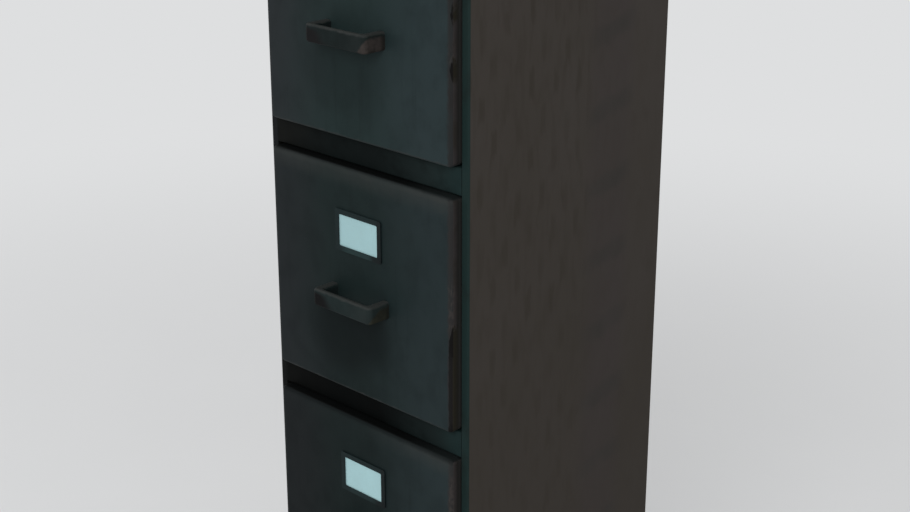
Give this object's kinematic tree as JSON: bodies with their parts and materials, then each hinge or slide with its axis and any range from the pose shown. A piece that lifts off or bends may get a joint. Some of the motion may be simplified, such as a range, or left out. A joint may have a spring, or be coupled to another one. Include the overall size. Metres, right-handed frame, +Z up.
{
  "type": "office cabinet",
  "caption": "Slim upright steel office cabinet with a column of deep drawers on roller slides, each with a bow handle and a blank label holder.",
  "frame": {"origin": "on the floor, under the middle of the cabinet measured over its handles", "axes": "+Z up, -Y out of the drawer fronts, +X to the right of someone facing the drawers"},
  "size_m": [0.318, 0.3714, 1.32],
  "materials": {
    "front_paint": "worn satin enamel",
    "frame_paint": "worn satin enamel",
    "side_paint": "dull enamel with faint vertical streaks",
    "inner_steel": "thin primer on sheet steel",
    "slide_steel": "zinc-plated, dull",
    "handle_metal": "enamel worn through at the ends",
    "screw_steel": "zinc-plated",
    "label_frame": "dark worn enamel",
    "label_card": "blank card, matt",
    "nylon": "moulded, satin",
    "glide_plastic": "moulded, matt"
  },
  "bodies": {
    "case": {"side_panel_left": "side_paint", "side_panel_right": "side_paint", "back_panel": "side_paint", "top_panel": "side_paint", "base_pan": "inner_steel", "base_rail": "frame_paint", "glides": "glide_plastic", "cross_rail_1": "frame_paint", "cross_rail_2": "frame_paint", "cross_rail_3": "frame_paint", "post_front_left": "inner_steel", "post_front_right": "inner_steel", "post_rear_left": "inner_steel", "post_rear_right": "inner_steel", "slide_channels_1": "slide_steel", "slide_channels_2": "slide_steel", "slide_channels_3": "slide_steel", "slide_channels_4": "slide_steel"},
    "drawer_1": {"drawer_1_front": "front_paint", "drawer_1_tray": "inner_steel", "drawer_1_back": "inner_steel", "drawer_1_handle": "handle_metal", "drawer_1_handle_screws": "screw_steel", "drawer_1_label_frame": "label_frame", "drawer_1_label_card": "label_card", "drawer_1_runners": "slide_steel"},
    "front_rollers_1": {"front_rollers_1": "nylon"},
    "tail_rollers_1": {"drawer_1_tail_rollers": "nylon"},
    "drawer_2": {"drawer_2_front": "front_paint", "drawer_2_tray": "inner_steel", "drawer_2_back": "inner_steel", "drawer_2_handle": "handle_metal", "drawer_2_handle_screws": "screw_steel", "drawer_2_label_frame": "label_frame", "drawer_2_label_card": "label_card", "drawer_2_runners": "slide_steel"},
    "front_rollers_2": {"front_rollers_2": "nylon"},
    "tail_rollers_2": {"drawer_2_tail_rollers": "nylon"},
    "drawer_3": {"drawer_3_front": "front_paint", "drawer_3_tray": "inner_steel", "drawer_3_back": "inner_steel", "drawer_3_handle": "handle_metal", "drawer_3_handle_screws": "screw_steel", "drawer_3_label_frame": "label_frame", "drawer_3_label_card": "label_card", "drawer_3_runners": "slide_steel"},
    "front_rollers_3": {"front_rollers_3": "nylon"},
    "tail_rollers_3": {"drawer_3_tail_rollers": "nylon"},
    "drawer_4": {"drawer_4_front": "front_paint", "drawer_4_tray": "inner_steel", "drawer_4_back": "inner_steel", "drawer_4_handle": "handle_metal", "drawer_4_handle_screws": "screw_steel", "drawer_4_label_frame": "label_frame", "drawer_4_label_card": "label_card", "drawer_4_runners": "slide_steel"},
    "front_rollers_4": {"front_rollers_4": "nylon"},
    "tail_rollers_4": {"drawer_4_tail_rollers": "nylon"}
  },
  "joints": [
    {"name": "drawer_1_slide", "type": "slide", "parent": "case", "child": "drawer_1", "axis": [0, -1, 0], "range_m": [0, 0.23]},
    {"name": "front_rollers_1_spin", "type": "hinge", "parent": "case", "child": "front_rollers_1", "pos_m": [0, -0.11125, 1.0412], "axis": [1, 0, 0], "range_deg": [0, 1650.1]},
    {"name": "tail_rollers_1_spin", "type": "hinge", "parent": "drawer_1", "child": "tail_rollers_1", "pos_m": [0, 0.15175, 1.041], "axis": [1, 0, 0], "range_deg": [0, 1650.1]},
    {"name": "drawer_2_slide", "type": "slide", "parent": "case", "child": "drawer_2", "axis": [0, -1, 0], "range_m": [0, 0.23]},
    {"name": "front_rollers_2_spin", "type": "hinge", "parent": "case", "child": "front_rollers_2", "pos_m": [0, -0.11125, 0.7362], "axis": [1, 0, 0], "range_deg": [0, 1650.1]},
    {"name": "tail_rollers_2_spin", "type": "hinge", "parent": "drawer_2", "child": "tail_rollers_2", "pos_m": [0, 0.15175, 0.736], "axis": [1, 0, 0], "range_deg": [0, 1650.1]},
    {"name": "drawer_3_slide", "type": "slide", "parent": "case", "child": "drawer_3", "axis": [0, -1, 0], "range_m": [0, 0.23]},
    {"name": "front_rollers_3_spin", "type": "hinge", "parent": "case", "child": "front_rollers_3", "pos_m": [0, -0.11125, 0.4312], "axis": [1, 0, 0], "range_deg": [0, 1650.1]},
    {"name": "tail_rollers_3_spin", "type": "hinge", "parent": "drawer_3", "child": "tail_rollers_3", "pos_m": [0, 0.15175, 0.431], "axis": [1, 0, 0], "range_deg": [0, 1650.1]},
    {"name": "drawer_4_slide", "type": "slide", "parent": "case", "child": "drawer_4", "axis": [0, -1, 0], "range_m": [0, 0.23]},
    {"name": "front_rollers_4_spin", "type": "hinge", "parent": "case", "child": "front_rollers_4", "pos_m": [0, -0.11125, 0.1262], "axis": [1, 0, 0], "range_deg": [0, 1650.1]},
    {"name": "tail_rollers_4_spin", "type": "hinge", "parent": "drawer_4", "child": "tail_rollers_4", "pos_m": [0, 0.15175, 0.126], "axis": [1, 0, 0], "range_deg": [0, 1650.1]}
  ],
  "couplings": [
    {"joint": "front_rollers_1_spin", "follows": "drawer_1_slide", "rad_per_m": 125},
    {"joint": "tail_rollers_1_spin", "follows": "drawer_1_slide", "rad_per_m": 125},
    {"joint": "front_rollers_2_spin", "follows": "drawer_2_slide", "rad_per_m": 125},
    {"joint": "tail_rollers_2_spin", "follows": "drawer_2_slide", "rad_per_m": 125},
    {"joint": "front_rollers_3_spin", "follows": "drawer_3_slide", "rad_per_m": 125},
    {"joint": "tail_rollers_3_spin", "follows": "drawer_3_slide", "rad_per_m": 125},
    {"joint": "front_rollers_4_spin", "follows": "drawer_4_slide", "rad_per_m": 125},
    {"joint": "tail_rollers_4_spin", "follows": "drawer_4_slide", "rad_per_m": 125}
  ]
}
